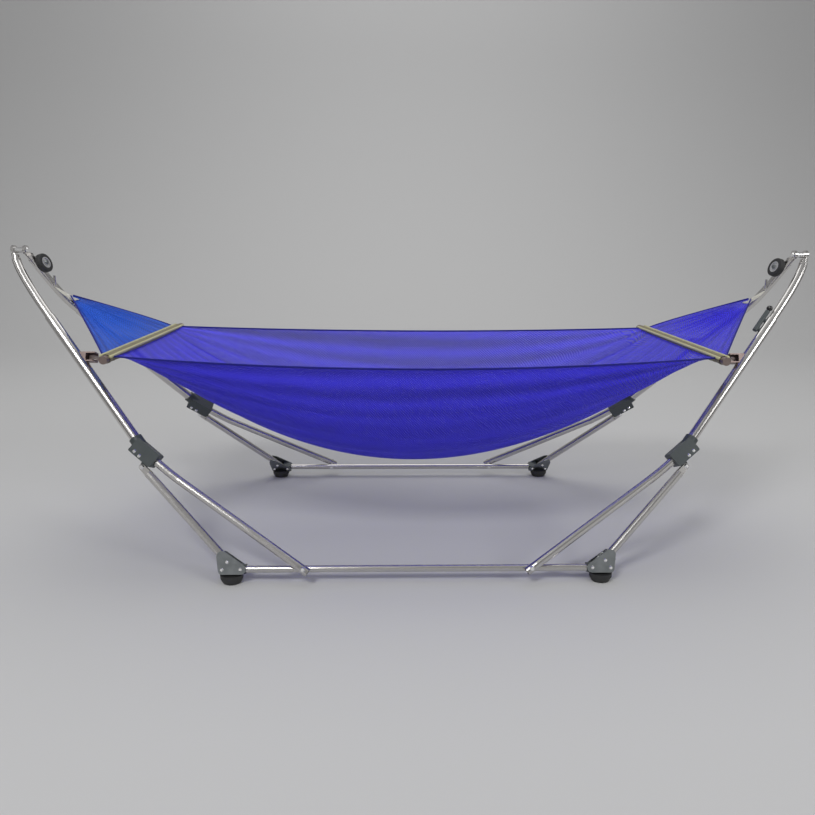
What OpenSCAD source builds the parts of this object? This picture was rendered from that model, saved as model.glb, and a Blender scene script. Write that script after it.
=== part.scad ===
// Hammock hung in a folding tube stand.
// Row frame: X along the hammock, Y across, Z up, floor at z = 0. Millimetres.
// The two sides of the stand are flat frames that lean together and meet at a
// head pin at each end. Each side is drawn flat: x along, z up the slope.

/* [Stand] */
// head pins' height over the floor
head_height = 905; // [700:1100]
// half the distance between the two rails
rail_half_gap = 410; // [300:520]
// rail axis over the floor
rail_height = 40; // [34:60]
// foot's distance from the middle
foot_x = 532; // [420:640]
// brace pin's distance from the middle
brace_pin_x = 322; // [200:400]
// collar's distance from the middle
collar_x = 790; // [680:860]
// collar's height up the slope
collar_v = 330; // [260:400]
// top of the large leg tube, from the middle
step_x = 1106; // [1000:1150]
// top of the large leg tube, up the slope
step_v = 743; // [650:790]
// middle of the head, from the middle
head_x = 1218; // [1180:1300]
// how far each arm's eye stands off the head's middle
eye_offset = 17.5; // [16:24]

/* [Tubes] */
leg_od = 30; // [26:34]
leg_wall = 2.4; // [1:3]
arm_od = 25; // [20:28]
strut_od = 24; // [18:28]
brace_od = 24; // [18:28]
rail_od = 20; // [16:25]
bar_od = 20; // [16:25]
link_od = 12; // [10:16]
wall = 1.2; // [0.8:2]

/* [Wheels] */
wheel_r = 29; // [22:32]
wheel_width = 18; // [12:20]
hub_r = 17; // [12:20]
stud_r = 4; // [3:6]

/* [Bed] */
bar_half = 320; // [240:360]
bar_x = 856; // [780:900]
bar_z = 625; // [560:700]
link_v = 600; // [520:660]
bed_half_mid = 350; // [280:400]
bed_depth = 365; // [200:420]
sleeve_wall = 3.5; // [2:5]
net_t = 3; // [2:5]
apex_x = 1078; // [1020:1110]
apex_z = 766; // [700:800]

/* [Hidden] */
$fn = 24;

tilt = atan(rail_half_gap / (head_height - rail_height));
vh = (head_height - rail_height) / cos(tilt);
// heights follow the side's height, which is drawn_vh for the sizes above
drawn_vh = 865 / cos(atan(410 / 865));
rise = vh / drawn_vh;
pin_r = 4;            // rivets that turn nothing, and the head pin
fit = 0.05;           // running clearance on a radius
seat = 0.1;           // clearance of a seated piece
rivet_r = 3;
plate = 2.5;

C = [collar_x, collar_v * rise];
S = [step_x, step_v * rise];
function unit(v) = v / norm(v);
function perp(v) = [-v.y, v.x];
function cross2(a, b) = a.x * b.y - a.y * b.x;
function p3(p, y = 0) = [p.x, y, p.y];

u_leg = unit(S - C);
end_angle = 72;
u_end = [cos(end_angle), sin(end_angle)];
function eye(front) = [head_x + (front ? 1 : -1) * eye_offset, vh];
function arm_end(front) = eye(front) - 30 * u_end;
arm_start = S + 15 * u_leg;
function arm_ctrl(front) = arm_start + u_leg * cross2(arm_end(front) - arm_start, u_end) / cross2(u_leg, u_end);
function bez(a, b, c, t) = a * (1 - t) * (1 - t) + b * 2 * t * (1 - t) + c * t * t;
plug_depth = 80;
function arm_path(front) = concat([p3(S - plug_depth * u_leg)],
  [for (i = [0:10]) p3(bez(arm_start, arm_ctrl(front), arm_end(front), i / 10))]);

// brace: from past its pin on the rail's outer side up into the collar
brace_y = -(rail_od / 2 + brace_od / 2 + 1);
B = [brace_pin_x, 0];
collar_angle = 39;
u_col = [cos(collar_angle), sin(collar_angle)];
brace_top = C - 10 * u_col;
brace_knee = C - 105 * u_col;
u_brace = unit(brace_knee - B);
function brace_pts() = [p3(B - 16 * u_brace, brace_y), p3(B + 20 * u_brace, brace_y),
  p3(brace_knee - 60 * u_brace, brace_y * 0.12), p3(brace_knee - 18 * u_brace, 0), p3(brace_knee + 18 * u_col, 0), p3(brace_top, 0)];

// strut: from the foot bracket to a pin under the collar
A = [foot_x + 6, 20];
T = C - 20 * u_col - 36 * perp(u_col);
u_str = unit(T - A);
lug_t = 9;

// a tube's ends are at path[0] and path[last]; the path lies close to one plane
function tangent(p, i) = let(n = len(p) - 1) unit((i == 0 ? p[1] - p[0] : i == n ? p[n] - p[n - 1] : unit(p[i + 1] - p[i]) + unit(p[i] - p[i - 1])));
function ring(c, t, r, n, up) = let(a = unit(cross(up, t)), b = cross(t, a)) [for (k = [0:n - 1]) c + r * (cos(360 * k / n) * a + sin(360 * k / n) * b)];
module sweep(p, r, n = 24, up = [0, 1, 0]) {
  pts = [for (i = [0:len(p) - 1]) each ring(p[i], tangent(p, i), r, n, up)];
  m = len(p);
  polyhedron(pts, concat(
    [[for (k = [0:n - 1]) k]],
    [for (i = [0:m - 2]) for (k = [0:n - 1]) [i * n + (k + 1) % n, i * n + k, (i + 1) * n + k, (i + 1) * n + (k + 1) % n]],
    [[for (k = [n - 1:-1:0]) (m - 1) * n + k]]), convexity = 6);
}
function longer(p, e) = let(n = len(p) - 1) [for (i = [0:n]) i == 0 ? p[0] - e * tangent(p, 0) : i == n ? p[n] + e * tangent(p, n) : p[i]];
module tube(p, r, w, n = 24, up = [0, 1, 0]) { difference() { sweep(p, r, n, up); sweep(longer(p, 1), r - w, n, up); } }
// a rounded corner at b, starting e before it
function corner(a, b, c, e, n = 6) = [for (i = [0:n]) bez(b + e * unit(a - b), b, b + e * unit(c - b), i / n)];

// a cylinder from a to b
module rod(a, b, r) {
  d = b - a; l = norm(d);
  translate(a) rotate([0, acos(d.z / l), atan2(d.y, d.x)]) cylinder(r = r, h = l);
}
module across(p, r, y0, y1) { translate([p.x, y0, p.y]) rotate([-90, 0, 0]) cylinder(r = r, h = y1 - y0); }

module place(front, left) {
  mirror([0, front ? 0 : 1, 0]) translate([0, -rail_half_gap, rail_height]) rotate([-tilt, 0, 0]) mirror([left ? 1 : 0, 0, 0]) children();
}

// ---------- one side, drawn flat ----------
rail_end = foot_x - 20;
module rail_shape() {
  difference() {
    rod([-rail_end, 0, 0], [rail_end, 0, 0], rail_od / 2);
    translate([-rail_end - 1, 0, 0]) rotate([0, 90, 0]) cylinder(r = rail_od / 2 - wall, h = 2 * rail_end + 2);
    for (s = [-1, 1]) {
      across([s * brace_pin_x, 0], pin_r + seat, -rail_od, rail_od);
      across([s * (foot_x - 32), 0], rivet_r + seat, -rail_od, rail_od);
    }
  }
}
gap_in = strut_od / 2 + 0.3;
module insert_shape() {
  difference() {
    translate([foot_x - 46, -gap_in + seat, -12.3]) cube([30, 2 * gap_in - 2 * seat, 26.3]);
    translate([foot_x - 50, 0, 0]) rotate([0, 90, 0]) cylinder(r = rail_od / 2 + seat, h = 40);
    across([foot_x - 32, 0], rivet_r + seat, -30, 30);
    strut_envelope(1);
  }
}
module strut_envelope(e) { rod(p3(A - 13 * u_str), p3(A + 120 * u_str), strut_od / 2 + e); }
module bracket_outline() {
  hull() {
    translate([foot_x - 34, 0]) circle(r = 14);
    translate([foot_x + 18, -2]) circle(r = 12);
    translate([A.x + 22 * u_str.x, A.y + 22 * u_str.y]) circle(r = 15);
    translate([foot_x - 18, 12]) circle(r = 10);
  }
}
module foot_bracket_shape() {
  difference() {
    union() {
      for (y = [-gap_in - plate, gap_in]) translate([0, y + plate, 0]) rotate([90, 0, 0]) linear_extrude(plate) bracket_outline();
      translate([foot_x - 34, -gap_in - 0.5, -14]) cube([52, 2 * gap_in + 1, plate - 1]);
    }
    across([foot_x - 32, 0], rivet_r + seat, -40, 40);
    across(A, rivet_r + seat, -40, 40);
    across([foot_x + 20, -1], rivet_r + seat, -40, 40);
    translate([foot_x - 60, 0, 0]) rotate([0, 90, 0]) cylinder(r = rail_od / 2 + seat, h = 40);
  }
}
module strut_shape() {
  difference() {
    union() {
      tube([p3(A - 13 * u_str), p3(T - 26 * u_str)], strut_od / 2, wall);
      for (s = [-1, 1]) translate([0, s * (lug_t / 2 + 0.4 + 1.5) + 1.5, 0]) rotate([90, 0, 0]) linear_extrude(3) hull() {
        translate(T) circle(r = 8);
        translate(T - 34 * u_str) circle(r = 10);
      }
    }
    across(T, pin_r + seat, -30, 30);
    across(A, rivet_r + seat, -30, 30);
  }
}
module brace_shape() {
  difference() {
    tube(brace_pts(), brace_od / 2, wall);
    across(B, pin_r + seat, -60, 20);
  }
}
col_len = 82; col_w = 46; col_t = 40;
module collar_outline() {
  translate(C) rotate(collar_angle) hull() for (x = [-1, 1], y = [-1, 1]) translate([x * (col_len / 2 - 5), y * (col_w / 2 - 5)]) circle(r = 5);
}
leg_foot = C + 22 * u_leg;
module collar_shape() {
  difference() {
    union() {
      translate([0, col_t / 2, 0]) rotate([90, 0, 0]) linear_extrude(col_t) collar_outline();
      rod(p3(C + 8 * u_leg), p3(C + 56 * u_leg), leg_od / 2 + 4);
      translate([0, lug_t / 2, 0]) rotate([90, 0, 0]) linear_extrude(lug_t) hull() {
        translate(T) circle(r = 8);
        translate(C - 18 * u_col - 14 * perp(u_col)) circle(r = 12);
      }
    }
    sweep(longer([for (i = [3:5]) brace_pts()[i]], seat), brace_od / 2 + seat);
    rod(p3(leg_foot - seat * u_leg), p3(C + 90 * u_leg), leg_od / 2 + seat);
    across(T, pin_r + seat, -30, 30);
    for (k = collar_rivets()) across(k, rivet_r + seat, -30, 30);
  }
}
function collar_rivets() = [C + 4 * u_col - 15.5 * perp(u_col), C + 24 * u_col - 14 * perp(u_col)];
module leg_shape() { tube([p3(leg_foot), p3(S)], leg_od / 2, leg_wall); }
module arm_shape(front) {
  tube(arm_path(front), arm_od / 2, wall);
}
module eye_shape(front) {
  e = eye(front);
  difference() {
    union() {
      translate([e.x - 4, 0, e.y]) rotate([0, 90, 0]) cylinder(r = 14, h = 8);
      rod(p3(arm_end(front) - 9 * u_end), p3(arm_end(front) + 19 * u_end), arm_od / 2 - wall - 5 * seat);
    }
    translate([e.x - 30, 0, e.y]) rotate([0, 90, 0]) cylinder(r = pin_r + fit, h = 60);
    for (s = [-1, 1]) translate([e.x + s * 14 - 10, -30, e.y - 14.5]) cube([20, 60, 60]);
  }
}
module rivet(p, r, y0, y1) {
  across(p, r, y0, y1);
  for (s = [0, 1]) translate([p.x, s ? y1 : y0, p.y]) rotate([s ? -90 : 90, 0, 0]) cylinder(r1 = r * 1.8, r2 = r * 1.1, h = r * 0.8);
}
module rivets_shape() {
  yb = gap_in + plate;
  rivet([foot_x - 32, 0], rivet_r, -yb, yb);
  rivet(A, rivet_r, -yb, yb);
  rivet([foot_x + 20, -1], rivet_r, -yb, yb);
  rivet(B, pin_r, brace_y - brace_od / 2, rail_od / 2);
  rivet(T, pin_r, -lug_t / 2 - 3.4, lug_t / 2 + 3.4);
  for (k = collar_rivets()) rivet(k, rivet_r, -col_t / 2, col_t / 2);
}

// lock: a sprung pin with a ball end in a housing on the leg's inner edge
lock_off = leg_od / 2 + 10;
n_in = perp(u_leg);
lock_r = 3.5;
module lock_housing_shape() {
  difference() {
    union() {
      rod(p3(S - 62 * u_leg + lock_off * n_in), p3(S + 16 * u_leg + lock_off * n_in), 7);
      rod(p3(S - 52 * u_leg + (leg_od / 2 - 3) * n_in), p3(S - 52 * u_leg + lock_off * n_in), 6);
      rod(p3(S - 16 * u_leg + (leg_od / 2 - 3) * n_in), p3(S - 16 * u_leg + lock_off * n_in), 6);
    }
    rod(p3(S - 140 * u_leg), p3(S + 20 * u_leg), leg_od / 2 + seat);
    rod(p3(S - 56 * u_leg + lock_off * n_in), p3(S + 40 * u_leg + lock_off * n_in), lock_r + fit);
  }
}
module lock_pin_shape() {
  rod(p3(S - 55 * u_leg + lock_off * n_in), p3(S + 30 * u_leg + lock_off * n_in), lock_r);
  translate(p3(S + 27.5 * u_leg + lock_off * n_in)) sphere(r = 9);
}

// wheel: on the rear arm's inner side, its axle square to the arm
n_end = perp(u_end);
Q = arm_end(false) - 24 * u_end;
wheel_off = arm_od / 2 + 3 + wheel_width / 2;
// puts +Z along the axle, origin at h out from the arm's axis
module axle_frame(h) { translate(p3(Q + h * n_end)) rotate([0, atan2(n_end.x, n_end.y), 0]) children(); }
module tyre_shape() {
  axle_frame(wheel_off) rotate_extrude($fn = 48) {
    hull() {
      translate([hub_r, -wheel_width / 2 + 1.5]) square([wheel_r - hub_r - 3, wheel_width - 3]);
      translate([wheel_r - 3.5, -wheel_width / 2 + 4]) circle(r = 3.5, $fn = 16);
      translate([wheel_r - 3.5, wheel_width / 2 - 4]) circle(r = 3.5, $fn = 16);
      translate([hub_r, -wheel_width / 2]) square([5, wheel_width]);
    }
  }
}
module hub_shape() {
  axle_frame(wheel_off) difference() {
    translate([0, 0, -wheel_width / 2]) cylinder(r = hub_r - 0.05, h = wheel_width, $fn = 48);
    translate([0, 0, wheel_width / 2 - 3]) difference() { cylinder(r = hub_r - 3, h = 5, $fn = 40); translate([0, 0, -1]) cylinder(r = stud_r + 5, h = 8); }
    translate([0, 0, -wheel_width]) cylinder(r = stud_r + fit, h = 2 * wheel_width);
  }
}
module stud_shape() {
  difference() {
    axle_frame(0) {
      cylinder(r = stud_r, h = wheel_off + wheel_width / 2 + 3);
      translate([0, 0, arm_od / 2 - 4]) cylinder(r = 8, h = 6.5);
      translate([0, 0, wheel_off + wheel_width / 2 + 0.5]) cylinder(r1 = 7.5, r2 = 5, h = 4);
    }
    sweep(arm_path(false), arm_od / 2 + 0.02);
  }
}

// ---------- pieces in the row frame ----------
module foot_shape() {
  // rubber bowl under the bracket, flat on the floor
  difference() {
    translate([foot_x - 4, -rail_half_gap, 0]) hull() {
      scale([1, 0.8, 1]) cylinder(r = 25, h = 1, $fn = 40);
      translate([0, 0, 14]) scale([1, 0.8, 1]) cylinder(r = 32, h = 12, $fn = 40);
    }
    place(true, false) translate([0, gap_in + plate + 0.3, 0]) rotate([90, 0, 0]) linear_extrude(2 * (gap_in + plate + 0.3)) offset(r = 0.3) bracket_outline();
    place(true, false) { rivet_space(); }
  }
}
module rivet_space() {
  for (p = [[foot_x - 32, 0], A, [foot_x + 20, -1]]) across(p, rivet_r * 2.1, -gap_in - plate - 4, gap_in + plate + 4);
  rod([0, 0, 0], [rail_end, 0, 0], rail_od / 2 + 0.3);
}
function rear_xyz(p, y = 0) = // a point of the right rear side in the row frame
  [p.x, rail_half_gap - p.y * sin(tilt) - y * cos(tilt), rail_height + p.y * cos(tilt) - y * sin(tilt)];
function front_xyz(p) = let(q = rear_xyz(p)) [q.x, -q.y, q.z];

module head_pin() {
  x0 = head_x - eye_offset - 4; x1 = head_x + eye_offset + 4;
  translate([x0 - 1, 0, head_height]) rotate([0, 90, 0]) cylinder(r = pin_r, h = x1 - x0 + 2);
  translate([x0 - 4.4, 0, head_height]) rotate([0, 90, 0]) cylinder(r1 = 6, r2 = 8, h = 4);
  translate([x1 + 0.4, 0, head_height]) rotate([0, 90, 0]) cylinder(r1 = 8, r2 = 6, h = 4);
  translate([head_x - eye_offset + 4.4, 0, head_height]) rotate([0, 90, 0]) difference() { cylinder(r = 9, h = 2 * eye_offset - 8.8); }
}
hook_r = 3.5;
hook_root = rear_xyz(bez(arm_start, arm_ctrl(false), arm_end(false), 0.55));
hook_low = [hook_root.x - 22, 15, hook_root.z + 4];
hook_tip = hook_low + [-1, 0, 34];
module hook_shape() {
  difference() {
    sweep(concat([hook_root], corner(hook_root, hook_low, hook_tip, 12), [hook_tip - [0, 0, 4]],
      [hook_tip]), hook_r, 16);
    place(false, false) sweep(arm_path(false), arm_od / 2 + 0.02);
  }
}
cord_r = 3;
cord_end = [apex_x + 1, 0, apex_z * rise];
module cord_shape() {
  rod(hook_low + [-hook_r - cord_r - 0.2, 0, 0], cord_end, cord_r);
}

// spreader bar: a straight tube with a link welded on at each end, back to the leg
link_gap = leg_od / 2 + link_od / 2 + 10;
link_p = C + (link_v - collar_v) * rise / u_leg.y * u_leg + link_gap * n_in;
bar_end = front_xyz(link_p);
bar_corner = [bar_x, -bar_half, bar_z * rise];
function my(p) = [p.x, -p.y, p.z];
arm_dir = unit(bar_end - bar_corner);
end_past = 5;
knuckle = 8;          // the solid end's half length
module bar_shape() {
  difference() {
    union() {
      rod(bar_corner + [0, knuckle - 2, 0], my(bar_corner) - [0, knuckle - 2, 0], bar_od / 2);
      rod(bar_corner - [0, knuckle, 0], bar_corner + [0, knuckle, 0], bar_od / 2 + 1.5);
      rod(my(bar_corner) - [0, knuckle, 0], my(bar_corner) + [0, knuckle, 0], bar_od / 2 + 1.5);
      rod(bar_corner, bar_end + end_past * arm_dir, link_od / 2);
      rod(my(bar_corner), my(bar_end + end_past * arm_dir), link_od / 2);
    }
    rod(bar_corner + [0, 2 * knuckle, 0], my(bar_corner) - [0, 2 * knuckle, 0], bar_od / 2 - wall);
    // drain hole in the underside
    translate([bar_x, 0, bar_z * rise - bar_od]) cylinder(r = 2, h = bar_od);
    place(false, false) translate(p3(link_p)) cylinder(r = rivet_r + seat, h = 60, center = true);
  }
}
// a channel on the leg's inner edge, open to the side's outer face
slot_v = link_od / 2 + 4.5;
slot_y = link_od / 2 + end_past + 1;
module channel_shape(bolt) {
  difference() {
    translate([link_p.x - 13, -9, link_p.y - slot_v - 4]) cube([link_gap + 14, slot_y + 13, 2 * slot_v + 8]);
    translate([link_p.x - 40, -60, link_p.y - slot_v]) cube([40 + 13.5, 60 + slot_y, 2 * slot_v]);
    rod(p3(leg_foot), p3(S), leg_od / 2 + seat);
    // nothing of it stands past the leg's axis
    translate(p3(leg_foot)) rotate([0, -atan2(u_leg.y, u_leg.x), 0]) translate([-60, -60, -80]) cube([norm(S - leg_foot) + 60, 120, 80]);
  }
  if (bolt) {
    translate([link_p.x, 0, link_p.y - slot_v - 8]) cylinder(r = rivet_r, h = 2 * slot_v + 16);
    for (s = [-1, 1]) translate([link_p.x, 0, link_p.y + s * (slot_v + 5.4)]) cylinder(r = 5, h = 3, center = true);
  }
}
module bracket_shape() { channel_shape(true); }
module saddle_shape() { channel_shape(false); }
module sleeve_shape() {
  difference() {
    rod(bar_corner + [0, knuckle + 3, 0], my(bar_corner) - [0, knuckle + 3, 0], bar_od / 2 + 0.2 + sleeve_wall);
    rod(bar_corner, my(bar_corner), bar_od / 2 + 0.2);
    // slits that the links pass through
    rod(bar_corner, bar_end, link_od / 2 + 0.3);
    rod(my(bar_corner), my(bar_end), link_od / 2 + 0.3);
  }
}

// lofted net: rows along x, a hanging curve across each row
module net(rows, nx, t, ny = 16) {
  // rows: [x, half width, edge height, sag]
  pts = [for (s = [0, 1]) for (i = [0:nx]) for (j = [0:ny])
    let(a = -1 + 2 * j / ny, r = rows[i]) [r[0], r[1] * (a + 0.10 * sin(180 * a)), r[2] - r[3] * (1 - pow(abs(a), 2.2)) - s * t]];
  w = ny + 1; m = (nx + 1) * w;
  polyhedron(pts, concat(
    [for (i = [0:nx - 1]) for (j = [0:ny - 1]) each [[i * w + j, i * w + j + 1, (i + 1) * w + j], [i * w + j + 1, (i + 1) * w + j + 1, (i + 1) * w + j]]],
    [for (i = [0:nx - 1]) for (j = [0:ny - 1]) each [[m + i * w + j, m + (i + 1) * w + j, m + i * w + j + 1], [m + i * w + j + 1, m + (i + 1) * w + j, m + (i + 1) * w + j + 1]]],
    [for (j = [0:ny - 1]) [j, m + j, m + j + 1, j + 1]],
    [for (j = [0:ny - 1]) [nx * w + j + 1, m + nx * w + j + 1, m + nx * w + j, nx * w + j]],
    [for (i = [0:nx - 1]) [(i + 1) * w, m + (i + 1) * w, m + i * w, i * w]],
    [for (i = [0:nx - 1]) [i * w + ny, m + i * w + ny, m + (i + 1) * w + ny, (i + 1) * w + ny]]), convexity = 8);
}
sleeve_out = bar_od / 2 + 0.2 + sleeve_wall;
bed_x = bar_x - sleeve_out - 0.3;
net_half = bar_half - 28;
function bed_row(q) = let(x = q * bed_x, k = 1 - q * q) [x, net_half + (bed_half_mid - net_half) * k, bar_z * rise + 4 - 22 * k, 6 + (bed_depth * rise - 6) * pow(k, 0.9)];
module bed_shape() { n = 28; net([for (i = [0:n]) bed_row(-1 + 2 * i / n)], n, net_t); }
end_x = bar_x + sleeve_out + 0.3;
module net_end_shape() {
  n = 8;
  net([for (i = [0:n]) let(q = i / n) [end_x + (apex_x - end_x) * q, net_half * (1 - q) + 7 * q, bar_z * rise + 4 + ((apex_z - bar_z) * rise - 3) * pow(q, 0.92), 6 + 26 * q * (1 - q) * 4 * 0.5]], n, net_t, 10);
}

// ---------- nodes ----------
steel = [0.78, 0.79, 0.80]; dark = [0.17, 0.18, 0.19]; black = [0.05, 0.05, 0.055];
blue = [0.10, 0.12, 0.72]; beige = [0.68, 0.65, 0.52];

module side_pair(front) { for (l = [false, true]) place(front, l) children(); }
module world(front, left) { mirror([0, front ? 0 : 1, 0]) mirror([left ? 1 : 0, 0, 0]) children(); }

module rear_rail() { color(steel) place(false, false) rail_shape(); }
module rear_left_foot_bracket() { color(steel) place(false, true) foot_bracket_shape(); }
module rear_right_foot_bracket() { color(steel) place(false, false) foot_bracket_shape(); }
module rear_left_foot() { color(black) world(false, true) foot_shape(); }
module rear_right_foot() { color(black) world(false, false) foot_shape(); }
module rear_left_strut() { color(steel) place(false, true) strut_shape(); }
module rear_right_strut() { color(steel) place(false, false) strut_shape(); }
module rear_left_brace() { color(steel) place(false, true) brace_shape(); }
module rear_right_brace() { color(steel) place(false, false) brace_shape(); }
module rear_left_collar() { color(dark) place(false, true) collar_shape(); }
module rear_right_collar() { color(dark) place(false, false) collar_shape(); }
module rear_left_leg() { color(steel) place(false, true) leg_shape(); }
module rear_right_leg() { color(steel) place(false, false) leg_shape(); }
module rear_left_arm() { color(steel) place(false, true) arm_shape(false); }
module rear_right_arm() { color(steel) place(false, false) arm_shape(false); }
module rear_head_eyes() { color(steel) side_pair(false) eye_shape(false); }
module rear_rivets() { color(steel) side_pair(false) rivets_shape(); }
module rear_foot_inserts() { color(black) side_pair(false) insert_shape(); }
module rear_lock_housing() { color(dark) place(false, true) lock_housing_shape(); }
module rear_lock_pin() { color(black) place(false, true) lock_pin_shape(); }

module front_rail() { color(steel) place(true, false) rail_shape(); }
module front_left_foot_bracket() { color(steel) place(true, true) foot_bracket_shape(); }
module front_right_foot_bracket() { color(steel) place(true, false) foot_bracket_shape(); }
module front_left_foot() { color(black) world(true, true) foot_shape(); }
module front_right_foot() { color(black) world(true, false) foot_shape(); }
module front_left_strut() { color(steel) place(true, true) strut_shape(); }
module front_right_strut() { color(steel) place(true, false) strut_shape(); }
module front_left_brace() { color(steel) place(true, true) brace_shape(); }
module front_right_brace() { color(steel) place(true, false) brace_shape(); }
module front_left_collar() { color(dark) place(true, true) collar_shape(); }
module front_right_collar() { color(dark) place(true, false) collar_shape(); }
module front_left_leg() { color(steel) place(true, true) leg_shape(); }
module front_right_leg() { color(steel) place(true, false) leg_shape(); }
module front_left_arm() { color(steel) place(true, true) arm_shape(true); }
module front_right_arm() { color(steel) place(true, false) arm_shape(true); }
module front_head_eyes() { color(steel) side_pair(true) eye_shape(true); }
module front_rivets() { color(steel) side_pair(true) rivets_shape(); }
module front_foot_inserts() { color(black) side_pair(true) insert_shape(); }
module front_lock_housing() { color(dark) place(true, false) lock_housing_shape(); }
module front_lock_pin() { color(black) place(true, false) lock_pin_shape(); }

module head_pins() { color(steel) for (m = [0, 1]) mirror([m, 0, 0]) head_pin(); }
module left_hook() { color(steel) mirror([1, 0, 0]) hook_shape(); }
module right_hook() { color(steel) hook_shape(); }
module left_wheel_tyre() { color(black) place(false, true) tyre_shape(); }
module left_wheel_hub() { color(steel) place(false, true) hub_shape(); }
module right_wheel_tyre() { color(black) place(false, false) tyre_shape(); }
module right_wheel_hub() { color(steel) place(false, false) hub_shape(); }
module wheel_studs() { color(steel) side_pair(false) stud_shape(); }
module left_spreader_bar() { color(steel) mirror([1, 0, 0]) bar_shape(); }
module right_spreader_bar() { color(steel) bar_shape(); }
module spreader_brackets() { color(steel) side_pair(false) bracket_shape(); }
module spreader_saddles() { color(steel) side_pair(true) saddle_shape(); }
module left_spreader_sleeve() { color(beige) mirror([1, 0, 0]) sleeve_shape(); }
module right_spreader_sleeve() { color(beige) sleeve_shape(); }
module bed_net() { color(blue) bed_shape(); }
module left_net_end() { color(blue) mirror([1, 0, 0]) net_end_shape(); }
module right_net_end() { color(blue) net_end_shape(); }
module hook_cords() { color([0.9, 0.9, 0.86]) for (m = [0, 1]) mirror([m, 0, 0]) cord_shape(); }

rear_rail();
rear_left_foot_bracket();
rear_right_foot_bracket();
rear_left_foot();
rear_right_foot();
rear_left_strut();
rear_right_strut();
rear_left_brace();
rear_right_brace();
rear_left_collar();
rear_right_collar();
rear_left_leg();
rear_right_leg();
rear_left_arm();
rear_right_arm();
rear_head_eyes();
rear_rivets();
rear_foot_inserts();
rear_lock_housing();
rear_lock_pin();
front_rail();
front_left_foot_bracket();
front_right_foot_bracket();
front_left_foot();
front_right_foot();
front_left_strut();
front_right_strut();
front_left_brace();
front_right_brace();
front_left_collar();
front_right_collar();
front_left_leg();
front_right_leg();
front_left_arm();
front_right_arm();
front_head_eyes();
front_rivets();
front_foot_inserts();
front_lock_housing();
front_lock_pin();
head_pins();
left_hook();
right_hook();
left_wheel_tyre();
left_wheel_hub();
right_wheel_tyre();
right_wheel_hub();
wheel_studs();
left_spreader_bar();
right_spreader_bar();
spreader_brackets();
spreader_saddles();
left_spreader_sleeve();
right_spreader_sleeve();
bed_net();
left_net_end();
right_net_end();
hook_cords();
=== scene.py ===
# %% [markdown]
# # A net hammock in a folding tube stand
# The stand is two flat frames of steel tube that lean together and meet at a
# pin at each end. The steel already comes from the CAD model, so this lesson
# loads it, makes the camera, gives every tube, moulding and foot a finish, and
# makes what CAD can't: the gathered blue net, its webbing sleeves and cords.

import math
import random

import bmesh
import bpy
import numpy as np
from mathutils import Matrix, Vector


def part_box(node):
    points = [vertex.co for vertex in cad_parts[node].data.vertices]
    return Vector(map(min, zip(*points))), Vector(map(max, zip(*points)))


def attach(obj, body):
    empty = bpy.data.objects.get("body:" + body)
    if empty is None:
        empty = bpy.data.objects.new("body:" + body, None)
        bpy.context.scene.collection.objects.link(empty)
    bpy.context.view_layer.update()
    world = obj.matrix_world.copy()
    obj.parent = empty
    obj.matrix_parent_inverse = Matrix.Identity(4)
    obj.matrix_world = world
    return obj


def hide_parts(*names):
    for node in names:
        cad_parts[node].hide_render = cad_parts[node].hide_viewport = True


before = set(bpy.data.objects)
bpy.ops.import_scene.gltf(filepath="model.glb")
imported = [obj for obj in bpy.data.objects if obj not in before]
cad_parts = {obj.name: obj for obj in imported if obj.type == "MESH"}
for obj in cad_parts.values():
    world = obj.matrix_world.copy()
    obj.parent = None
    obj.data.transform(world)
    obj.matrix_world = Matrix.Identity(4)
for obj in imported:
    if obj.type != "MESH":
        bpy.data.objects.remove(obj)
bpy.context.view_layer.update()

# %% [markdown]
# The camera stands in front of the hammock, a little higher than the stand's
# top, and looks down on it. Its place is worked out from where the feet, rails and
# collars must fall, and it is built from its three axes, which is the clearest
# way to give a small roll as well as a turn and a tilt.

# %% Camera
CAMERA_AT = Vector((-0.0667, -2.0417, 0.9636))
PITCH, YAW, ROLL = math.radians(15.03), math.radians(1.47), math.radians(-0.42)
SENSOR_MM, LENS_MM = 36, 28.1065
SHIFT_X, SHIFT_Y = -0.0030675, -0.0042945

look = Vector((math.sin(YAW) * math.cos(PITCH),
               math.cos(YAW) * math.cos(PITCH),
               -math.sin(PITCH)))
right = Vector((math.cos(YAW), -math.sin(YAW), 0))
up = right.cross(look)
cam_right = right * math.cos(ROLL) - up * math.sin(ROLL)
cam_up = right * math.sin(ROLL) + up * math.cos(ROLL)
camera_data = bpy.data.cameras.new("camera")
camera_data.sensor_width = SENSOR_MM
camera_data.lens = LENS_MM
camera_data.shift_x = SHIFT_X
camera_data.shift_y = SHIFT_Y
camera = bpy.data.objects.new("camera", camera_data)
bpy.context.scene.collection.objects.link(camera)
camera.matrix_world = Matrix((
    (cam_right.x, cam_up.x, -look.x, CAMERA_AT.x),
    (cam_right.y, cam_up.y, -look.y, CAMERA_AT.y),
    (cam_right.z, cam_up.z, -look.z, CAMERA_AT.z),
    (0, 0, 0, 1)))
bpy.context.scene.camera = camera
print("lens", round(camera_data.lens, 2), "mm")

# %% [markdown]
# The floor is pale and dull, and curves up behind the hammock into a backdrop,
# so that no horizon line shows. Colours are kept plain by the Standard view.

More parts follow.
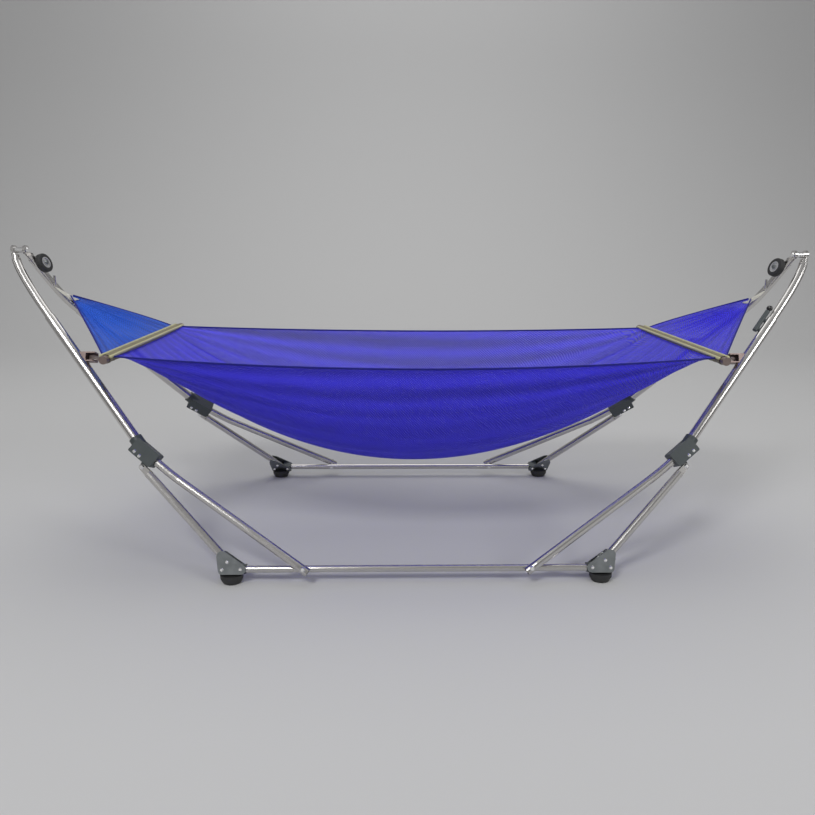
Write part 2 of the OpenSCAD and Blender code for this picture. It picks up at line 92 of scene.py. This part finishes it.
# %% Floor and backdrop
FLOOR_NEAR, FLOOR_HALF = -14, 16
CURVE_AT, CURVE_R = 3.2, 3
BACKDROP_TOP = 14
curve = [(CURVE_AT + CURVE_R * math.sin(t), CURVE_R - CURVE_R * math.cos(t))
         for t in np.linspace(0.15, math.pi / 2, 12)]
profile = [(FLOOR_NEAR, 0), (CURVE_AT, 0), *curve, (CURVE_AT + CURVE_R, BACKDROP_TOP)]
floor_mesh = bpy.data.meshes.new("floor")
floor_mesh.from_pydata([(x, y, z) for y, z in profile for x in (-FLOOR_HALF, FLOOR_HALF)], [],
                       [(2 * i, 2 * i + 1, 2 * i + 3, 2 * i + 2) for i in range(len(profile) - 1)])
floor_mesh.polygons.foreach_set("use_smooth", [True] * len(floor_mesh.polygons))
floor = bpy.data.objects.new("floor", floor_mesh)
bpy.context.scene.collection.objects.link(floor)
floor_mat = bpy.data.materials.new("pale_floor")
floor_mat.use_nodes = True
floor_bsdf = floor_mat.node_tree.nodes["Principled BSDF"]
floor_bsdf.inputs["Base Color"].default_value = (0.62, 0.62, 0.62, 1)
floor_bsdf.inputs["Roughness"].default_value = 0.95
floor_bsdf.inputs["Specular IOR Level"].default_value = 0.05
floor_mesh.materials.append(floor_mat)
bpy.context.scene.view_settings.view_transform = "Standard"
print("floor faces", len(floor_mesh.polygons))

# %% [markdown]
# Three large square lights give soft shadows: a key from the left, a weaker
# fill from the right, and one high behind that lifts the backdrop.

# %% Lights
def soft_light(name, at, aim, size, power):
    """A square area light at one point, facing another."""
    data = bpy.data.lights.new(name, "AREA")
    data.energy, data.size = power, size
    lamp = bpy.data.objects.new(name, data)
    bpy.context.scene.collection.objects.link(lamp)
    lamp.location = at
    lamp.rotation_euler = (Vector(aim) - Vector(at)).to_track_quat("-Z", "Y").to_euler()


soft_light("key", (-1.8, -3.4, 4.6), (0, 0.2, 0.4), 1.3, 95)
soft_light("fill", (3.4, -2.6, 2.6), (0, 0.2, 0.4), 1.2, 34)
soft_light("top", (0.2, 2.6, 5.6), (0, 2.6, 0.0), 5.0, 105)

# %% [markdown]
# Plated tube is only as good as what it mirrors. The world is banded by height,
# dark below, bright in a belt above the horizon and paler again overhead, which
# draws light and dark lines along the tubes. The camera itself sees one pale
# tone in its place.

# %% World
PALE, DIM, BRIGHT, DARK = 0.44, 0.16, 0.60, 0.04
BANDS = ((0.42, DARK), (0.55, DIM), (0.62, BRIGHT), (0.70, BRIGHT), (0.78, DIM))
GROUND, SEEN = 0.05, 0.54


def grey(value):
    return (value, value, value, 1)


world = bpy.data.worlds.new("studio")
bpy.context.scene.world = world
world.use_nodes = True
wn, wl = world.node_tree.nodes, world.node_tree.links
where = wn.new("ShaderNodeTexCoord")
split = wn.new("ShaderNodeSeparateXYZ")
bands = wn.new("ShaderNodeValToRGB")
stops = bands.color_ramp.elements
stops[0].position, stops[0].color = 0.0, grey(GROUND)
stops[1].position, stops[1].color = 1.0, grey(PALE)
for height, value in BANDS:
    stop = stops.new(height)
    stop.color = grey(value)
half_up = wn.new("ShaderNodeMapRange")
half_up.inputs["From Min"].default_value = -1
seen = wn.new("ShaderNodeLightPath")
choose = wn.new("ShaderNodeMix")
choose.data_type = "RGBA"
choose.inputs["B"].default_value = grey(SEEN)
wl.new(where.outputs["Generated"], split.inputs[0])
wl.new(split.outputs["Z"], half_up.inputs["Value"])
wl.new(half_up.outputs[0], bands.inputs[0])
wl.new(seen.outputs["Is Camera Ray"], choose.inputs["Factor"])
wl.new(bands.outputs[0], choose.inputs["A"])
wl.new(choose.outputs["Result"], wn["Background"].inputs["Color"])
print("world bands", len(stops))

# %% [markdown]
# Two effects are wanted by more than one finish, so each is a node group with
# named sockets: one for handling marks and dull spots, and one for the fine
# crossed threads of woven stuff. Both give only values that change over the
# surface; the shaders stay in the materials.

# %% Node group helpers
F, COL = "NodeSocketFloat", "NodeSocketColor"


def new_group(name, sockets_in, sockets_out):
    """An empty shader group with float or colour sockets."""
    group = bpy.data.node_groups.new(name, "ShaderNodeTree")
    for label, kind, value in sockets_in:
        s = group.interface.new_socket(name=label, in_out="INPUT", socket_type=kind)
        if value is not None:
            s.default_value = value
    for label, kind in sockets_out:
        group.interface.new_socket(name=label, in_out="OUTPUT", socket_type=kind)
    return group, group.nodes.new("NodeGroupInput"), group.nodes.new("NodeGroupOutput")


def math_node(nodes, operation, second=None):
    """A math node, with its second value set if one is given."""
    node = nodes.new("ShaderNodeMath")
    node.operation = operation
    if second is not None:
        node.inputs[1].default_value = second
    return node


def color_mix(nodes):
    """A mix node for colours."""
    node = nodes.new("ShaderNodeMix")
    node.data_type = "RGBA"
    return node


print("helpers for groups, math and mixing")

# %% [markdown]
# Handling marks: blotches pull the colour towards dirt and the surface towards
# rough, and a much finer grain gives the height.

# %% Handling marks
BLOTCH_DETAIL, GRAIN_DETAIL, GRAIN_FINER = 5, 3, 14
marks, m_in, m_out = new_group(
    "handling_marks",
    [("Color", COL, (0.8, 0.8, 0.8, 1)), ("Dirt", COL, (0.4, 0.4, 0.4, 1)),
     ("Roughness", F, 0.3), ("Spread", F, 0.1), ("Scale", F, 30.0), ("Amount", F, 0.4)],
    [("Color", COL), ("Roughness", F), ("Height", F)])
n, l = marks.nodes, marks.links
coord = n.new("ShaderNodeTexCoord")
blotch = n.new("ShaderNodeTexNoise")
blotch.inputs["Detail"].default_value = BLOTCH_DETAIL
grain = n.new("ShaderNodeTexNoise")
grain.inputs["Detail"].default_value = GRAIN_DETAIL
fine = math_node(n, "MULTIPLY", GRAIN_FINER)
tone = math_node(n, "MULTIPLY")
mix = color_mix(n)
spread = math_node(n, "MULTIPLY")
rough = math_node(n, "ADD")
l.new(coord.outputs["Object"], blotch.inputs["Vector"])
l.new(coord.outputs["Object"], grain.inputs["Vector"])
l.new(m_in.outputs["Scale"], blotch.inputs["Scale"])
l.new(m_in.outputs["Scale"], fine.inputs[0])
l.new(fine.outputs[0], grain.inputs["Scale"])
l.new(blotch.outputs[0], tone.inputs[0])
l.new(m_in.outputs["Amount"], tone.inputs[1])
l.new(tone.outputs[0], mix.inputs["Factor"])
l.new(m_in.outputs["Color"], mix.inputs["A"])
l.new(m_in.outputs["Dirt"], mix.inputs["B"])
l.new(blotch.outputs[0], spread.inputs[0])
l.new(m_in.outputs["Spread"], spread.inputs[1])
l.new(spread.outputs[0], rough.inputs[0])
l.new(m_in.outputs["Roughness"], rough.inputs[1])
l.new(mix.outputs["Result"], m_out.inputs["Color"])
l.new(rough.outputs[0], m_out.inputs["Roughness"])
l.new(grain.outputs[0], m_out.inputs["Height"])
print("handling_marks nodes", len(n))

# %% [markdown]
# Crossed threads: the cloth's own map is turned by the slant and cut into
# squares of the pitch, and a thread runs along the middle of each square both
# ways. The streak is a noise drawn out along the cloth.

# %% Crossed threads
STREAK_ALONG, STREAK_ACROSS, STREAK_DETAIL = 6, 130, 4
threads, t_in, t_out = new_group(
    "crossed_threads",
    [("Pitch", F, 0.006), ("Slant", F, 0.0), ("Width", F, 0.35)],
    [("Thread", F), ("Height", F), ("Streak", F)])
n, l = threads.nodes, threads.links
uv = n.new("ShaderNodeUVMap")
uv.uv_map = "cloth"
turn = n.new("ShaderNodeVectorRotate")
turn.rotation_type = "Z_AXIS"
l.new(uv.outputs[0], turn.inputs["Vector"])
l.new(t_in.outputs["Slant"], turn.inputs["Angle"])
parts = n.new("ShaderNodeSeparateXYZ")
l.new(turn.outputs[0], parts.inputs[0])
lines = []
for axis in ("X", "Y"):
    over = math_node(n, "DIVIDE")
    part = math_node(n, "FRACT")
    mid = math_node(n, "SUBTRACT", 0.5)
    off = math_node(n, "ABSOLUTE")
    half = math_node(n, "MULTIPLY", 0.5)
    thin = n.new("ShaderNodeMapRange")
    thin.interpolation_type = "SMOOTHSTEP"
    thin.inputs["To Min"].default_value = 1
    thin.inputs["To Max"].default_value = 0
    thin.inputs["From Min"].default_value = 0
    l.new(parts.outputs[axis], over.inputs[0])
    l.new(t_in.outputs["Pitch"], over.inputs[1])
    l.new(over.outputs[0], part.inputs[0])
    l.new(part.outputs[0], mid.inputs[0])
    l.new(mid.outputs[0], off.inputs[0])
    l.new(t_in.outputs["Width"], half.inputs[0])
    l.new(off.outputs[0], thin.inputs["Value"])
    l.new(half.outputs[0], thin.inputs["From Max"])
    lines.append(thin)
top = math_node(n, "MAXIMUM")
l.new(lines[0].outputs[0], top.inputs[0])
l.new(lines[1].outputs[0], top.inputs[1])
stretch = n.new("ShaderNodeMapping")
stretch.inputs["Scale"].default_value = (STREAK_ALONG, STREAK_ACROSS, 1)
l.new(uv.outputs[0], stretch.inputs["Vector"])
streak = n.new("ShaderNodeTexNoise")
streak.inputs["Scale"].default_value = 1
streak.inputs["Detail"].default_value = STREAK_DETAIL
l.new(stretch.outputs[0], streak.inputs["Vector"])
l.new(top.outputs[0], t_out.inputs["Thread"])
l.new(top.outputs[0], t_out.inputs["Height"])
l.new(streak.outputs[0], t_out.inputs["Streak"])
print("groups", [g.name for g in bpy.data.node_groups])

# %% [markdown]
# Hard finishes differ only in a handful of values: colour, metal or not, how
# rough, how marked. One helper builds the nodes and each call names a finish.
# Constant values such as the coat go straight on the shader's own sockets.

# %% Hard finish helper
COAT_ROUGH, MARK_DEPTH = 0.1, 0.0004


def hard_finish(name, color, dirt, metallic, rough, spread, scale, amount, bump, coat=0.0):
    """A material whose colour and roughness come from the handling marks."""
    mat = bpy.data.materials.new(name)
    mat.use_nodes = True
    nodes, links = mat.node_tree.nodes, mat.node_tree.links
    bsdf = nodes["Principled BSDF"]
    g = nodes.new("ShaderNodeGroup")
    g.node_tree = marks
    g.inputs["Color"].default_value = (*color, 1)
    g.inputs["Dirt"].default_value = (*dirt, 1)
    g.inputs["Roughness"].default_value = rough
    g.inputs["Spread"].default_value = spread
    g.inputs["Scale"].default_value = scale
    g.inputs["Amount"].default_value = amount
    links.new(g.outputs["Color"], bsdf.inputs["Base Color"])
    links.new(g.outputs["Roughness"], bsdf.inputs["Roughness"])
    bsdf.inputs["Metallic"].default_value = metallic
    bsdf.inputs["Coat Weight"].default_value = coat
    bsdf.inputs["Coat Roughness"].default_value = COAT_ROUGH
    b = nodes.new("ShaderNodeBump")
    b.inputs["Strength"].default_value = bump
    b.inputs["Distance"].default_value = MARK_DEPTH
    links.new(g.outputs["Height"], b.inputs["Height"])
    links.new(b.outputs[0], bsdf.inputs["Normal"])
    return mat


print("hard finish helper ready")

# %% [markdown]
# The tubes are bright plate with soft dull patches, the brackets and links are
# duller and greyer, and the mouldings are dark plastic or rubber. In each call
# come the colour, the dirt, metal or not, how rough, how much that changes, how
# small the marks are, how strong, and how deep.

# %% Hard finishes
tube_steel = hard_finish(
    "plated_tube", (0.66, 0.645, 0.63), (0.38, 0.36, 0.35), 1.0, 0.13, 0.14, 18, 0.35, 0.05)
bracket_steel = hard_finish(
    "grey_bracket", (0.34, 0.36, 0.37), (0.10, 0.11, 0.115), 1.0, 0.22, 0.2, 45, 0.75, 0.2)
rivet_steel = hard_finish(
    "bright_rivet", (0.92, 0.92, 0.92), (0.6, 0.6, 0.6), 1.0, 0.15, 0.1, 60, 0.3, 0.05)
foot_rubber = hard_finish(
    "foot_rubber", (0.018, 0.019, 0.021), (0.06, 0.058, 0.055), 0.0, 0.48, 0.25, 50, 0.5, 0.35)
collar_plastic = hard_finish(
    "collar_moulding", (0.045, 0.058, 0.062), (0.10, 0.11, 0.11), 0.0, 0.32, 0.2, 45, 0.4, 0.25)
ball_plastic = hard_finish(
    "ball_moulding", (0.012, 0.012, 0.013), (0.03, 0.03, 0.03), 0.0, 0.2, 0.1, 50, 0.3, 0.05, 0.4)
hub_plastic = hard_finish(
    "hub_moulding", (0.62, 0.62, 0.62), (0.36, 0.36, 0.36), 0.35, 0.3, 0.15, 60, 0.4, 0.1)
link_steel = hard_finish(
    "dull_link", (0.34, 0.27, 0.25), (0.16, 0.11, 0.10), 0.85, 0.34, 0.2, 50, 0.6, 0.2)


def finish_for(node):
    """The hard finish that a CAD node wears, by its name."""
    if "foot_bracket" in node or node == "wheel_studs":
        return bracket_steel
    if "rivets" in node or node == "head_pins":
        return rivet_steel
    if node.endswith("_foot") or "tyre" in node:
        return foot_rubber
    if "collar" in node or "insert" in node or "housing" in node:
        return collar_plastic
    if "lock_pin" in node:
        return ball_plastic
    if "hub" in node:
        return hub_plastic
    if "spreader_" in node:
        return link_steel
    return tube_steel


for node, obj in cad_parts.items():
    obj.data.materials.clear()
    obj.data.materials.append(finish_for(node))
print("hard finishes on", len(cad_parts), "nodes")

# %% [markdown]
# The net is knotted from fine royal-blue cord. From a few steps away the eye
# sees a blue skin with long streaks, and a little of what is behind it. The
# streaks are partly random tone and partly painted shade: darker in the creases
# between the folds, lighter on their ridges. The threads group gives the
# meshes, and the gaps between them are partly clear.

# %% Cloth finish helper
CLOTH_ROUGH, CLOTH_SHEEN, CLOTH_SPECULAR = 0.7, 0.06, 0.25
TINT_LOW, TINT_HIGH = 0.24, 0.74
THREAD_DEPTH = 0.001


def cloth_finish(name, light, deep, gap_alpha, pitch, slant, width, bump):
    """Cloth whose threads, streaks and gaps follow the piece's own UV map."""
    mat = bpy.data.materials.new(name)
    mat.use_nodes = True
    nodes, links = mat.node_tree.nodes, mat.node_tree.links
    bsdf = nodes["Principled BSDF"]
    bsdf.inputs["Roughness"].default_value = CLOTH_ROUGH
    bsdf.inputs["Sheen Weight"].default_value = CLOTH_SHEEN
    bsdf.inputs["Specular IOR Level"].default_value = CLOTH_SPECULAR
    g = nodes.new("ShaderNodeGroup")
    g.node_tree = threads
    g.inputs["Pitch"].default_value = pitch
    g.inputs["Slant"].default_value = slant
    g.inputs["Width"].default_value = width
    tint = nodes.new("ShaderNodeMapRange")
    tint.inputs["From Min"].default_value = TINT_LOW
    tint.inputs["From Max"].default_value = TINT_HIGH
    blend = color_mix(nodes)
    blend.inputs["A"].default_value = (*deep, 1)
    blend.inputs["B"].default_value = (*light, 1)
    # The fold values darken the creases between the folds and lighten their ridges, as painted shade and
    # painted light, mixed half and half with the streaks.
    fold_shade_attr = nodes.new("ShaderNodeAttribute")
    fold_shade_attr.attribute_name = "fold_shade"
    both = nodes.new("ShaderNodeMix")
    both.inputs["Factor"].default_value = 0.5
    links.new(g.outputs["Streak"], both.inputs["A"])
    links.new(fold_shade_attr.outputs["Fac"], both.inputs["B"])
    links.new(both.outputs[0], tint.inputs["Value"])
    links.new(tint.outputs[0], blend.inputs["Factor"])
    links.new(blend.outputs["Result"], bsdf.inputs["Base Color"])
    b = nodes.new("ShaderNodeBump")
    b.inputs["Strength"].default_value = bump
    b.inputs["Distance"].default_value = THREAD_DEPTH
    links.new(g.outputs["Height"], b.inputs["Height"])
    links.new(b.outputs[0], bsdf.inputs["Normal"])
    if gap_alpha < 1:
        clear = nodes.new("ShaderNodeMapRange")
        clear.inputs["To Min"].default_value = gap_alpha
        clear.inputs["To Max"].default_value = 1
        links.new(g.outputs["Thread"], clear.inputs["Value"])
        links.new(clear.outputs[0], bsdf.inputs["Alpha"])
    return mat


print("cloth finish helper ready")

# %% [markdown]
# The bed and one end are royal blue, and the other end is a little greener.
# Only the net has gaps. The webbing, piping and cords are closed weaves, with
# a finer pitch. In each call come the two colours, how solid the gaps are, then
# the threads' pitch, slant, width and height.

# %% Cloth finishes
NET_PITCH, CORD_PITCH = 0.0055, 0.003
NET_SLANT, CORD_SLANT = math.radians(45), math.radians(35)
net_blue = cloth_finish(
    "blue_net", (0.060, 0.046, 0.98), (0.010, 0.005, 0.36), 0.42, NET_PITCH, NET_SLANT, 0.5, 0.5)
net_royal = cloth_finish(
    "royal_net_end", (0.022, 0.14, 0.82), (0.005, 0.03, 0.30), 0.55, NET_PITCH, NET_SLANT, 0.55, 0.5)
webbing = cloth_finish(
    "beige_webbing", (0.33, 0.30, 0.20), (0.20, 0.175, 0.11), 1.0, 0.0022, 0.0, 0.7, 0.6)
piping_cream = cloth_finish(
    "cream_piping", (0.70, 0.68, 0.42), (0.48, 0.46, 0.27), 1.0, 0.0018, math.radians(30), 0.6, 0.5)
cord_white = cloth_finish(
    "white_cord", (0.80, 0.79, 0.73), (0.55, 0.54, 0.48), 1.0, CORD_PITCH, CORD_SLANT, 0.5, 0.6)
edge_blue = cloth_finish(
    "edge_cord", (0.016, 0.018, 0.32), (0.006, 0.006, 0.16), 1.0, CORD_PITCH, CORD_SLANT, 0.5, 0.6)
print("cloth finishes", [m.name for m in (net_blue, net_royal, webbing, piping_cream,
                                          cord_white, edge_blue)])

# %% [markdown]
# Every cloth piece is a grid of points that a small function lays out, row by
# row, with its UV map in metres of cloth so that the threads keep their size.

# %% Grid and tube helpers
def outward(mesh):
    """Turn a closed mesh's faces to point out."""
    work = bmesh.new()
    work.from_mesh(mesh)
    bmesh.ops.recalc_face_normals(work, faces=work.faces)
    work.to_mesh(mesh)
    work.free()


def grid_piece(name, pts, material, ring=False, thickness=0.0, fold_shade=None):
    """A sheet from pts[i][j]; ring closes it across j.

    UVs are metres along the cloth, and the values given for gather are painted shade for the folds: low
    in the creases, high on the ridges.
    """
    p = np.array(pts, float)
    ni, nj = p.shape[:2]
    along, across = np.zeros((ni, nj)), np.zeros((ni, nj))
    along[1:] = np.cumsum(np.linalg.norm(np.diff(p, axis=0), axis=2), axis=0)
    across[:, 1:] = np.cumsum(np.linalg.norm(np.diff(p, axis=1), axis=2), axis=1)
    across -= across.mean(axis=1, keepdims=True)
    faces, uvs = [], []
    for i in range(ni - 1):
        for j in range(nj if ring else nj - 1):
            k = (j + 1) % nj
            corners = [(i, j), (i + 1, j), (i + 1, k), (i, k)]
            faces.append([a * nj + b for a, b in corners])
            step = across[i, 1] - across[i, 0]
            for a, b in corners:
                closes = ring and j == nj - 1 and b == 0
                uvs.append((along[a, b], across[a, nj - 1] + step if closes else across[a, b]))
    if ring:
        faces.append(list(range(nj)))
        faces.append([(ni - 1) * nj + j for j in range(nj)][::-1])
        uvs += [(0, 0)] * (2 * nj)
    mesh = bpy.data.meshes.new(name)
    mesh.from_pydata([tuple(v) for v in p.reshape(-1, 3)], [], faces)
    layer = mesh.uv_layers.new(name="cloth")
    layer.data.foreach_set("uv", np.array(uvs, float).ravel())
    # Painted shade for the folds, one value at each point; a piece given none gets an even middle value.
    fold_shade_attr = mesh.attributes.new("fold_shade", "FLOAT", "POINT")
    flat = np.full(ni * nj, 0.5) if fold_shade is None else np.array(fold_shade, float).ravel()
    fold_shade_attr.data.foreach_set("value", flat)
    mesh.materials.append(material)
    mesh.polygons.foreach_set("use_smooth", [True] * len(mesh.polygons))
    if ring:
        outward(mesh)
    piece = bpy.data.objects.new(name, mesh)
    bpy.context.scene.collection.objects.link(piece)
    if thickness:
        wall = piece.modifiers.new("wall", "SOLIDIFY")
        wall.thickness, wall.offset = thickness, -1
    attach(piece, "stand")
    return piece


def tube_points(path, radius, sides=10):
    """Rings of points round a path."""
    path = np.array(path, float)
    tangent = np.gradient(path, axis=0)
    tangent /= np.linalg.norm(tangent, axis=1, keepdims=True)
    rings = []
    side = np.cross(tangent[0], (0.03, 0.02, 1.0))
    side /= np.linalg.norm(side)
    for at, t in zip(path, tangent):
        side = side - t * np.dot(side, t)
        side /= np.linalg.norm(side)
        other = np.cross(t, side)
        rings.append([at + radius * (math.cos(a) * side + math.sin(a) * other)
                      for a in np.linspace(0, 2 * math.pi, sides, endpoint=False)])
    return rings


def cloth_area(piece):
    """The area of a piece's faces, in square metres."""
    return sum(f.area for f in piece.data.polygons)


def run_length(points):
    """The length of a line through points, in metres."""
    return sum(math.dist(a, b) for a, b in zip(points, points[1:]))


def span(i, count):
    """Steps 0 to count, as -1 to 1."""
    return -1 + 2 * i / count


print("grid, tube and measuring helpers ready")

# %% [markdown]
# The bed hangs between the two spreader bars as one trough. Across, each row
# is a hanging curve; along, the trough deepens towards the middle. The cloth is
# gathered on the bars, so long folds run out of them and die away in the belly.

# %% Shape of the bed
BAR_X = 0.856
BED_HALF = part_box("bed_net")[1][0]
EDGE_Z = 0.629
EDGE_DROP = 0.022
NET_HALF = 0.292
MID_HALF = 0.350
BAR_SAG = 0.006
BELLY = 0.365
WAVES, WAVES_FROM, WAVE_HEIGHT = 58, 0.72, 0.0035
FOLD_DEPTH, FOLD_SUM = 1.4, 3.2
FOLD_HEIGHT, BAR_FOLD_HEIGHT = 0.009, 0.013
CLOTH_WALL = 0.0012
random.seed(7)
fold_set = [(random.uniform(6, 30), random.uniform(0, 6.28), random.uniform(0.4, 1.0)) for _ in range(12)]


def folds(a, q):
    """How far the cloth stands off the smooth trough, as a share of the largest fold."""
    total = sum(w * math.sin(f * a + ph + 1.6 * q) for f, ph, w in fold_set)
    return 1.0 - FOLD_DEPTH * abs(total) / FOLD_SUM


def edge_waves(q, a):
    """Long thin waves that run beside the two edges."""
    return math.sin(WAVES * a + 2 * q) * min(1, max(0, (abs(a) - WAVES_FROM) * 6))


def bed_point(q, a):
    """A point of the bed: q runs from bar to bar and a from edge to edge, each -1 to 1."""
    k = 1 - q * q
    half = NET_HALF + (MID_HALF - NET_HALF) * k
    sag = BAR_SAG + (BELLY - BAR_SAG) * k ** 0.9
    x = q * BED_HALF
    y = half * (a + 0.10 * math.sin(math.pi * a))
    z = EDGE_Z - EDGE_DROP * k - sag * (1 - abs(a) ** 2.2)
    fade = (1 - abs(a) ** 8) * min(1, (1 - abs(q)) * 14)
    depth = fade * (FOLD_HEIGHT + BAR_FOLD_HEIGHT * abs(q) ** 2.5 * min(1, (1 - abs(q)) * 6))
    off = folds(a, q) * depth + WAVE_HEIGHT * edge_waves(q, a) * fade
    return (x, y + off * 0.6 * a, z + off * (1 - 0.4 * abs(a)))


def fold_shade_at(q, a):
    """Painted shade for the bed's folds: lighter on the ridges that run from the bars and on the long
    waves beside the two edges, darker in the creases between them.
    """
    ridges = folds(a, q) * (0.5 + 0.5 * abs(q) ** 1.5)
    return 0.48 + 0.42 * ridges + 0.40 * edge_waves(q, a)


print("bed from bar to bar", round(2 * BED_HALF, 3), "m, folds", len(fold_set))

# %% [markdown]
# The bed is one grid of points, with the painted shade of its folds at the same
# points. It takes the place of the CAD model's bed.

# %% Bed net
NX, NY = 200, 140
bed_pts = [[bed_point(span(i, NX), span(j, NY)) for j in range(NY + 1)] for i in range(NX + 1)]
bed_fold_shade = [[fold_shade_at(span(i, NX), span(j, NY)) for j in range(NY + 1)] for i in range(NX + 1)]
bed = grid_piece("bed_cloth", bed_pts, net_blue, thickness=CLOTH_WALL, fold_shade=bed_fold_shade)
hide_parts("bed_net")
print("bed area", round(cloth_area(bed), 3), "m2")

# %% [markdown]
# A thin cord closes the meshes along each of the bed's long edges.

# %% Bed edge cords
BED_CORD_R, END_CORD_R, CORD_SIDES = 0.0026, 0.0022, 8
for side, j in (("front", 0), ("rear", NY)):
    edge = [bed_pts[i][j] for i in range(0, NX + 1, 4)]
    rope = grid_piece(f"bed_{side}_edge", tube_points(edge, BED_CORD_R, CORD_SIDES), edge_blue, ring=True)

# %% [markdown]
# Past each spreader the net runs on as a triangle that is drawn together into
# a bunch at the hook. All its folds meet in that bunch.

# %% Net ends
END_START = BAR_X + 0.014
APEX_X, APEX_Z = 1.078, 0.766
BUNCH = 0.007
END_SAG = 0.052
END_FOLD_HEIGHT = 0.012
NE, NA = 70, 90


def end_fold(a):
    """The same ridges in the triangles, where they all run to the bunch."""
    total = sum(w * math.sin(f * 1.3 * a + ph) for f, ph, w in fold_set)
    return 1.0 - FOLD_DEPTH * abs(total) / FOLD_SUM


def end_point(sx, q, a):
    """A point of an end: q runs from the bar to the bunch, 0 to 1, and a from edge to edge."""
    half = NET_HALF * (1 - q) + BUNCH * q
    sag = BAR_SAG + END_SAG * q * (1 - q)
    x = END_START + (APEX_X - END_START) * q
    z = EDGE_Z + (APEX_Z - EDGE_Z + 0.001) * q ** 0.92 - sag * (1 - a * a)
    z += end_fold(a) * END_FOLD_HEIGHT * math.sin(math.pi * min(1, q * 1.1)) * (1 - a ** 8)
    return (sx * x, half * a, z)


for side, sx, blue in (("left", -1, net_royal), ("right", 1, net_blue)):
    pts = [[end_point(sx, i / NE, sx * span(j, NA)) for j in range(NA + 1)] for i in range(NE + 1)]
    # The ends' colour is painted shade for their folds too: darker in the creases, lighter on the ridges.
    fold_shade = [[0.5 + 0.5 * end_fold(sx * span(j, NA)) for j in range(NA + 1)]] * (NE + 1)
    end = grid_piece(f"{side}_end_cloth", pts, blue, thickness=CLOTH_WALL, fold_shade=fold_shade)
    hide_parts(f"{side}_net_end")
    for tag, j in (("a", 0), ("b", NA)):
        edge = tube_points([pts[i][j] for i in range(0, NE + 1, 5)], END_CORD_R, CORD_SIDES)
        rope = grid_piece(f"{side}_end_edge_{tag}", edge, edge_blue, ring=True)

# %% [markdown]
# Each spreader bar runs in a webbing sleeve. The net is stitched on along both
# of its long edges, under a cream piping.

# %% Spreader sleeves
BAR_Z, SLEEVE_HALF = 0.625, 0.309
SKIN_R = 0.0125
SLEEVE_STEPS, SLEEVE_SIDES, PIPING_STEPS = 60, 32, 40
PIPING_R = 0.0042
for side, sx in (("left", -1), ("right", 1)):
    rings = []
    for i in range(SLEEVE_STEPS + 1):
        y = SLEEVE_HALF * span(i, SLEEVE_STEPS)
        pucker = 0.0005 * math.sin(i * 2.1) + 0.0004 * math.sin(i * 5.3 + 1)
        rings.append([(sx * BAR_X + (SKIN_R + pucker) * math.cos(t), y,
                       BAR_Z + (SKIN_R + pucker) * math.sin(t))
                      for t in np.linspace(0, 2 * math.pi, SLEEVE_SIDES, endpoint=False)])
    closed = [r + [r[0]] for r in rings]
    sleeve = grid_piece(f"{side}_sleeve_cloth", closed, webbing)
    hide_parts(f"{side}_spreader_sleeve")
    for tag, dx, dz in (("in", -1, 0.006), ("out", 1, 0.009)):
        line = [(sx * (BAR_X + dx * SKIN_R), SLEEVE_HALF * span(i, PIPING_STEPS), BAR_Z + dz)
                for i in range(PIPING_STEPS + 1)]
        pipe = grid_piece(f"{side}_piping_{tag}", tube_points(line, PIPING_R), piping_cream, ring=True)
print("sleeves", round(2 * SLEEVE_HALF, 3), "m long")

# %% [markdown]
# At each hook the net's strings come together in white loops. They are short
# and taut, held at both ends: one bunch of strands from the hook to the net.

# %% Hook loops
STRANDS, STRAND_STEPS, STRAND_R, STRAND_SIDES = 7, 12, 0.0016, 6
HOOK_IN, HOOK_Y, HOOK_UP = 0.0045, 0.015, 0.004
loops, strand_lengths = [], []
for side, sx in (("left", -1), ("right", 1)):
    lo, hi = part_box(f"{side}_hook")
    hook_at = np.array((sx * (min(abs(lo[0]), abs(hi[0])) + HOOK_IN), HOOK_Y, lo[2] + HOOK_UP))
    for s in range(STRANDS):
        apart = span(s, STRANDS - 1)
        bunch = np.array((sx * (APEX_X - 0.014), apart * 0.012, APEX_Z - 0.013))
        path = []
        for i in range(STRAND_STEPS + 1):
            t = i / STRAND_STEPS
            bulge = math.sin(math.pi * t)
            bow = np.array((0, 0.005 * apart * bulge, -0.003 * apart ** 2 * bulge))
            path.append(hook_at * (1 - t) + bunch * t + bow)
        strand_lengths.append(run_length(path))
        rings = tube_points(path, STRAND_R, STRAND_SIDES)
        loops.append(grid_piece(f"{side}_strand_{s}", rings, cord_white, ring=True))
bpy.ops.object.select_all(action="DESELECT")
for strand in loops:
    strand.select_set(True)
bpy.context.view_layer.objects.active = loops[0]
bpy.ops.object.join()
loops[0].name = "hook_loops"
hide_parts("hook_cords")
print("hook loops", STRANDS, "strands a side, each",
      round(min(strand_lengths), 4), "to", round(max(strand_lengths), 4), "m long")
